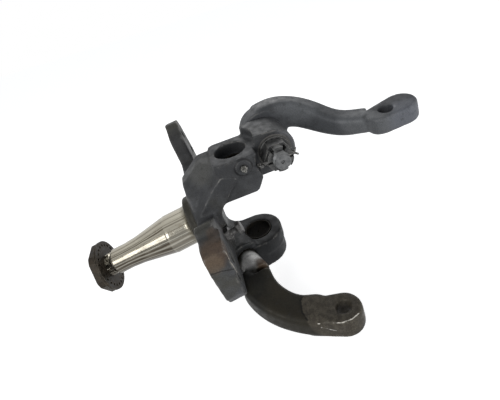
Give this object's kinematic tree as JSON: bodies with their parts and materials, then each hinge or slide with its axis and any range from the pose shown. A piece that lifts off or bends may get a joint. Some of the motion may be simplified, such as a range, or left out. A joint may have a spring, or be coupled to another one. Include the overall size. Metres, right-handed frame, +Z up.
{
  "type": "steering knuckle",
  "caption": "Forged steering knuckle with a wheel spindle, a kingpin yoke, a brake flange and two bolted steering arms.",
  "frame": {"origin": "where the kingpin axis and the spindle axis cross", "axes": "+Z up the kingpin, +X inboard towards the vehicle's centre, -Y to the vehicle's rear; the spindle points along -X and drops 6.5 degrees"},
  "size_m": [0.618, 0.4057, 0.2898],
  "materials": {
    "forging": "dark oiled forging scale, spindle ground bright",
    "arm_forging": "dark forging scale with worn edges",
    "bushing": "dull bronze",
    "fastener": "dark phosphated steel",
    "bright_wire": "dull steel",
    "fitting": "plated steel",
    "oxidised_steel": "brown oxidised steel"
  },
  "bodies": {
    "root": {"knuckle": "forging", "kingpin_bushing_upper": "bushing", "kingpin_bushing_lower": "bushing", "steering_arm": "arm_forging", "steering_arm_nut": "fastener", "steering_arm_washer": "fastener", "steering_arm_cotter_pin": "bright_wire", "steering_arm_key": "bright_wire", "tie_rod_arm": "arm_forging", "tie_rod_arm_nut": "fastener", "tie_rod_arm_cotter_pin": "bright_wire", "tie_rod_arm_key": "bright_wire", "stop_bolt": "fastener", "stop_bolt_jam_nut": "fastener", "grease_fitting_upper": "fitting", "grease_fitting_lower": "fitting", "grease_ball_upper": "fitting", "grease_ball_lower": "fitting", "spindle_lock_ring": "oxidised_steel", "spindle_nut": "oxidised_steel"}
  },
  "joints": []
}
